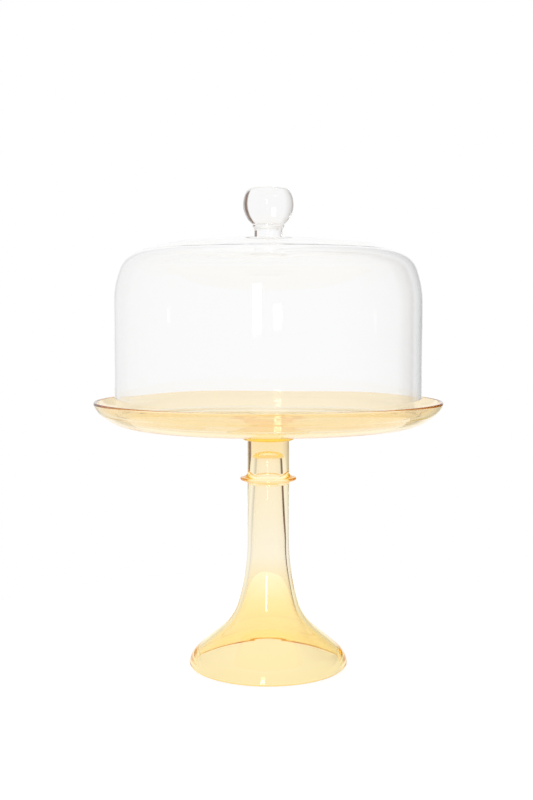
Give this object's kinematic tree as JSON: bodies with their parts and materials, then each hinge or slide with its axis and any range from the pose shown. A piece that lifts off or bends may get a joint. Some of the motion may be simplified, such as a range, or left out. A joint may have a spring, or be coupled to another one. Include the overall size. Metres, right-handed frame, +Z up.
{
  "type": "footed glass cake stand with dome",
  "caption": "Footed amber glass cake stand: a saucer plate on a hollow trumpet pedestal, with a clear glass dome that lifts off by its ball knob.",
  "frame": {"origin": "centre of the ring that the foot stands on, at the level of the table", "axes": "+Z up along the axis of revolution; +X and +Y are any two directions across the round plate"},
  "size_m": [0.305, 0.305, 0.4203],
  "materials": {
    "amber_glass": "clear pale amber soda-lime glass, fire-polished, a little uneven from hand making",
    "clear_glass": "clear colourless soda-lime glass, fire-polished, a little uneven from hand making"
  },
  "bodies": {
    "stand": {"plate": "amber_glass", "merese": "amber_glass", "pedestal": "amber_glass", "stem_ring": "amber_glass"},
    "cover": {"dome": "clear_glass", "knob": "clear_glass"}
  },
  "joints": [
    {"name": "dome_lift", "type": "slide", "parent": "stand", "child": "cover", "axis": [0, 0, 1], "range_m": [0, 0.2]}
  ]
}
